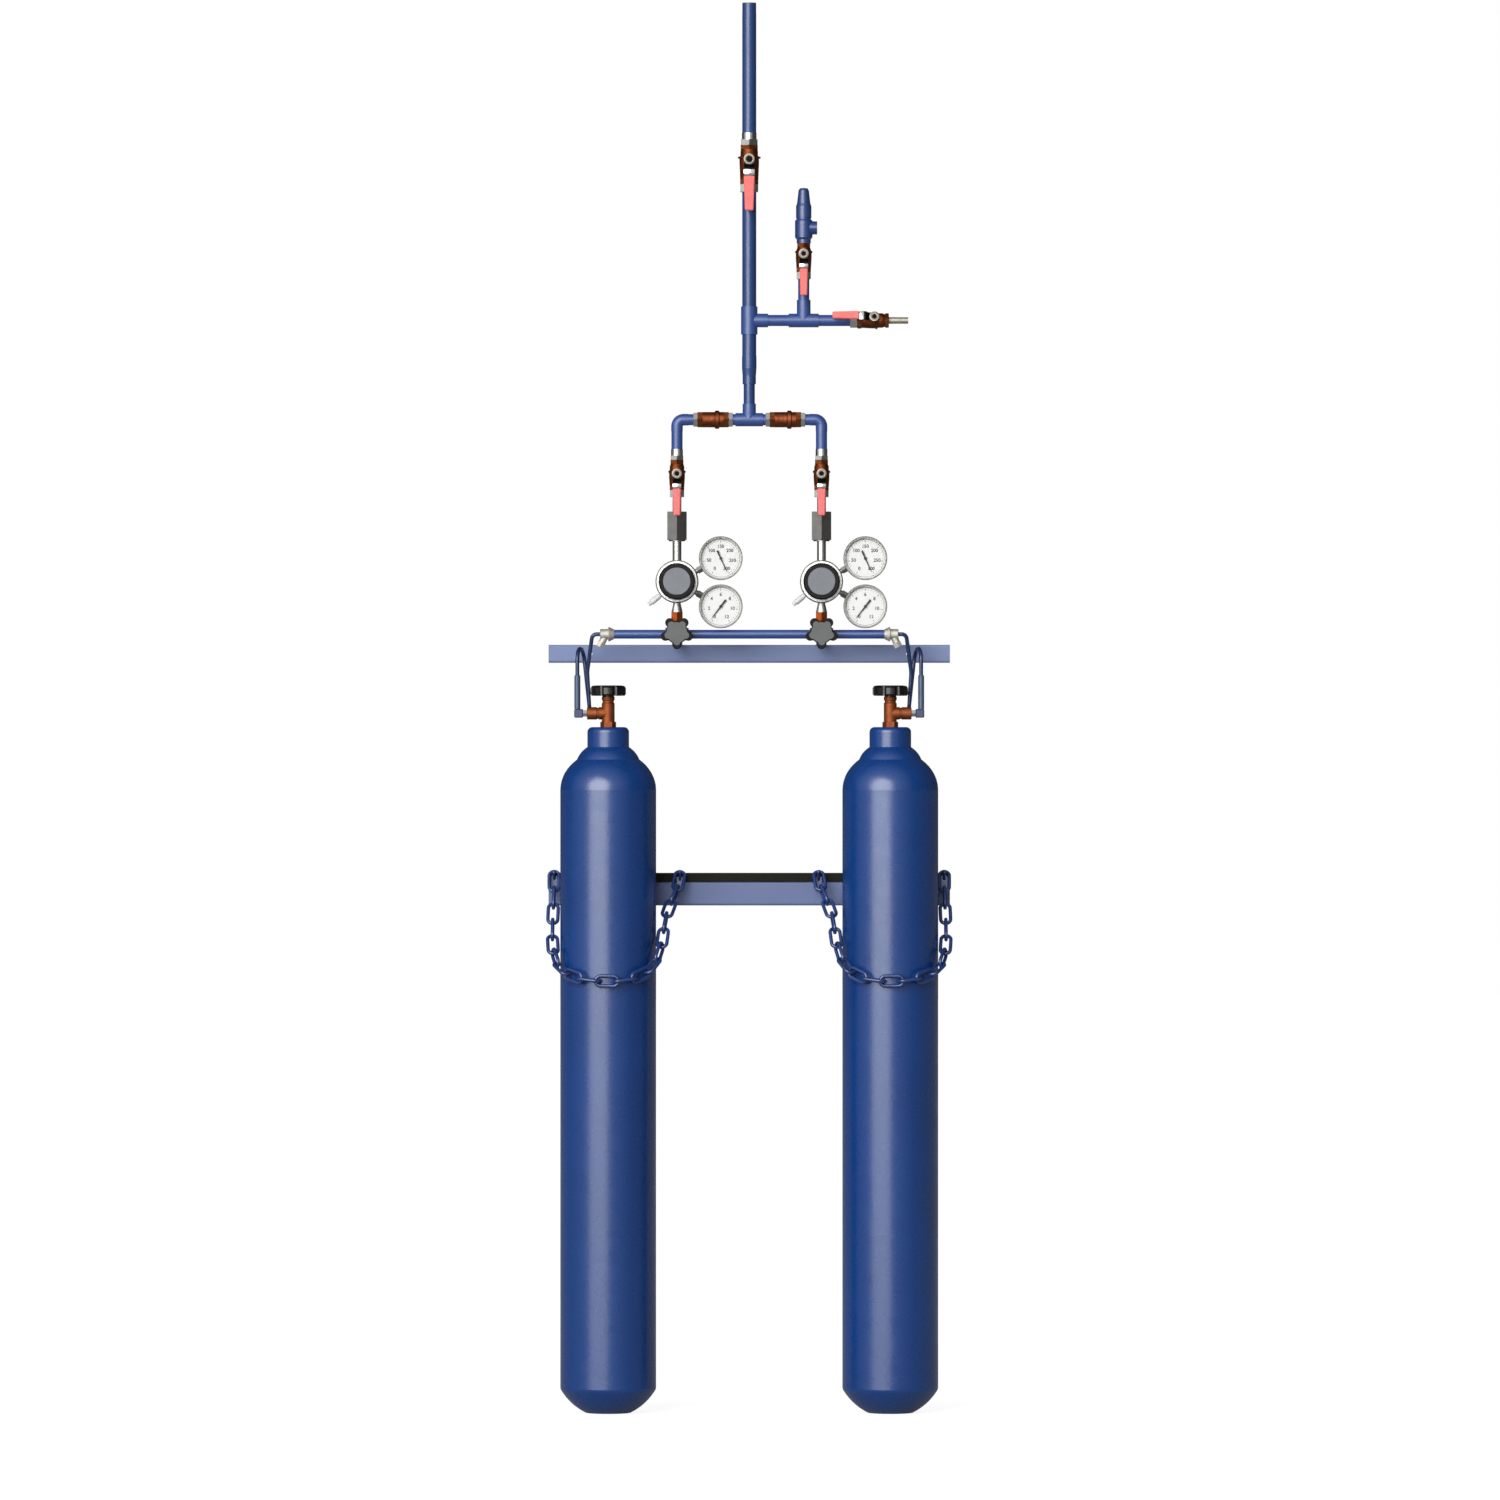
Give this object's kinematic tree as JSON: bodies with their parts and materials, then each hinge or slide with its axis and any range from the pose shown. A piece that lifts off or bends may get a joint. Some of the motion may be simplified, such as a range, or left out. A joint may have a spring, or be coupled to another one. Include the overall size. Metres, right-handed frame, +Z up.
{
  "type": "gas cylinder manifold",
  "caption": "Wall manifold for chained gas cylinders: pigtails to a header with star valves, gauged regulators, flame arrestors, lever valves and a riser with a safety and vent branch.",
  "frame": {"origin": "on the floor, midway between the two cylinders, at the mid-depth of the whole part", "axes": "+Z up along the riser, +X to the right seen from the front, +Y from the front towards the wall"},
  "size_m": [0.9776, 0.2965, 3.383],
  "materials": {
    "cylinder_paint": "gloss dark blue paint",
    "pipe_paint": "blue paint",
    "fitting_paint": "blue paint",
    "rail_paint": "light blue paint",
    "chain_paint": "blue coated steel",
    "valve_brass": "copper-brown brass",
    "body_bronze": "dark brown bronze",
    "nut_steel": "bright steel",
    "black_plastic": "black moulded plastic",
    "knob_grey": "black knob with a grey face",
    "grip_red": "pink-red dipped plastic",
    "pad_black": "black rubber",
    "regulator_grey": "light grey cast body",
    "case_grey": "grey steel case",
    "dial_white": "white dial with black marks",
    "lens": "clear lens",
    "pointer_black": "black",
    "arrestor_grey": "grey plated steel",
    "sinter": "sintered bronze",
    "poppet_steel": "stainless steel",
    "bolt_steel": "zinc-plated steel",
    "relief_white": "white metal",
    "safety_blue": "light blue paint",
    "nozzle_steel": "bright metal",
    "inlet_steel": "bright steel",
    "lever_steel": "dark plated steel"
  },
  "bodies": {
    "manifold": {"cylinder_left": "cylinder_paint", "cylinder_right": "cylinder_paint", "neck_rings": "cylinder_paint", "cylinder_valves": "valve_brass", "pigtail_nuts": "nut_steel", "pigtail_left": "fitting_paint", "pigtail_right": "fitting_paint", "pigtail_sleeves": "fitting_paint", "header_inlets": "inlet_steel", "header_pipes": "pipe_paint", "master_valve_bodies": "valve_brass", "header_brackets": "rail_paint", "bracket_bolts": "bolt_steel", "header_rail": "rail_paint", "cylinder_rail": "rail_paint", "rail_pad": "pad_black", "chain_left": "chain_paint", "chain_right": "chain_paint", "chain_anchors": "chain_paint", "regulator_inlets": "valve_brass", "regulator_bodies": "regulator_grey", "relief_valves": "relief_white", "gauge_cases": "case_grey", "gauge_dials": "dial_white", "gauge_lenses": "lens", "regulator_outlets": "nut_steel", "arrestors": "arrestor_grey", "arrestor_elements": "sinter", "ball_valve_bodies": "body_bronze", "gland_nuts": "nut_steel", "check_valves": "body_bronze", "elbows": "pipe_paint", "tees": "pipe_paint", "riser_reducer": "pipe_paint", "riser_pipes": "pipe_paint", "line_pipes": "pipe_paint", "safety_valve": "safety_blue", "vent_nozzle": "nozzle_steel"},
    "handwheel_left": {"handwheel_left": "black_plastic"},
    "star_knob_left": {"star_knob_left": "knob_grey"},
    "regulator_knob_left": {"regulator_knob_left": "knob_grey"},
    "handwheel_right": {"handwheel_right": "black_plastic"},
    "star_knob_right": {"star_knob_right": "knob_grey"},
    "regulator_knob_right": {"regulator_knob_right": "knob_grey"},
    "lever_leg_left": {"lever_leg_left": "lever_steel", "grip_leg_left": "grip_red"},
    "lever_leg_right": {"lever_leg_right": "lever_steel", "grip_leg_right": "grip_red"},
    "lever_safety": {"lever_safety": "lever_steel", "grip_safety": "grip_red"},
    "lever_vent": {"lever_vent": "lever_steel", "grip_vent": "grip_red"},
    "lever_main": {"lever_main": "lever_steel", "grip_main": "grip_red"},
    "pointer_left_high": {"pointer_left_high": "pointer_black"},
    "pointer_left_low": {"pointer_left_low": "pointer_black"},
    "pointer_right_high": {"pointer_right_high": "pointer_black"},
    "pointer_right_low": {"pointer_right_low": "pointer_black"},
    "check_poppet_left": {"check_poppet_left": "poppet_steel"},
    "check_poppet_right": {"check_poppet_right": "poppet_steel"}
  },
  "joints": [
    {"name": "handwheel_left_turn", "type": "hinge", "parent": "manifold", "child": "handwheel_left", "pos_m": [-0.3385, 0, 1.72], "axis": [0, 0, 1], "range_deg": [0, 900]},
    {"name": "star_knob_left_turn", "type": "hinge", "parent": "manifold", "child": "star_knob_left", "pos_m": [-0.1734, -0.04, 1.8715], "axis": [0, -1, 0], "range_deg": [0, 1080]},
    {"name": "regulator_knob_left_turn", "type": "hinge", "parent": "manifold", "child": "regulator_knob_left", "pos_m": [-0.1734, -0.03, 1.994], "axis": [0, 1, 0], "range_deg": [-1080, 720]},
    {"name": "handwheel_right_turn", "type": "hinge", "parent": "manifold", "child": "handwheel_right", "pos_m": [0.3385, 0, 1.72], "axis": [0, 0, 1], "range_deg": [0, 900]},
    {"name": "star_knob_right_turn", "type": "hinge", "parent": "manifold", "child": "star_knob_right", "pos_m": [0.1734, -0.04, 1.8715], "axis": [0, -1, 0], "range_deg": [0, 1080]},
    {"name": "regulator_knob_right_turn", "type": "hinge", "parent": "manifold", "child": "regulator_knob_right", "pos_m": [0.1734, -0.03, 1.994], "axis": [0, 1, 0], "range_deg": [-1080, 720]},
    {"name": "lever_leg_left_turn", "type": "hinge", "parent": "manifold", "child": "lever_leg_left", "pos_m": [-0.1734, 0, 2.2526], "axis": [0, 1, 0], "range_deg": [0, 90]},
    {"name": "lever_leg_right_turn", "type": "hinge", "parent": "manifold", "child": "lever_leg_right", "pos_m": [0.1734, 0, 2.2526], "axis": [0, 1, 0], "range_deg": [0, 90]},
    {"name": "lever_safety_turn", "type": "hinge", "parent": "manifold", "child": "lever_safety", "pos_m": [0.1307, 0, 2.78], "axis": [0, 1, 0], "range_deg": [0, 90]},
    {"name": "lever_vent_turn", "type": "hinge", "parent": "manifold", "child": "lever_vent", "pos_m": [0.3, 0, 2.6208], "axis": [0, 0.9659, -0.2588], "range_deg": [0, 90]},
    {"name": "lever_main_turn", "type": "hinge", "parent": "manifold", "child": "lever_main", "pos_m": [0, 0, 3.0065], "axis": [0, 1, 0], "range_deg": [0, 90]},
    {"name": "pointer_left_high_turn", "type": "hinge", "parent": "manifold", "child": "pointer_left_high", "pos_m": [-0.0684, -0.0085, 2.05], "axis": [0, 1, 0], "range_deg": [-306, 0]},
    {"name": "pointer_left_low_turn", "type": "hinge", "parent": "manifold", "child": "pointer_left_low", "pos_m": [-0.0684, -0.0085, 1.9345], "axis": [0, 1, 0], "range_deg": [-8, 298]},
    {"name": "pointer_right_high_turn", "type": "hinge", "parent": "manifold", "child": "pointer_right_high", "pos_m": [0.2784, -0.0085, 2.05], "axis": [0, 1, 0], "range_deg": [-306, 0]},
    {"name": "pointer_right_low_turn", "type": "hinge", "parent": "manifold", "child": "pointer_right_low", "pos_m": [0.2784, -0.0085, 1.9345], "axis": [0, 1, 0], "range_deg": [-8, 298]},
    {"name": "check_poppet_left_slide", "type": "slide", "parent": "manifold", "child": "check_poppet_left", "axis": [1, 0, 0], "range_m": [0, 0.005], "stiffness_N_per_m": 150, "springref_m": -0.004},
    {"name": "check_poppet_right_slide", "type": "slide", "parent": "manifold", "child": "check_poppet_right", "axis": [-1, 0, 0], "range_m": [0, 0.005], "stiffness_N_per_m": 150, "springref_m": -0.004}
  ]
}
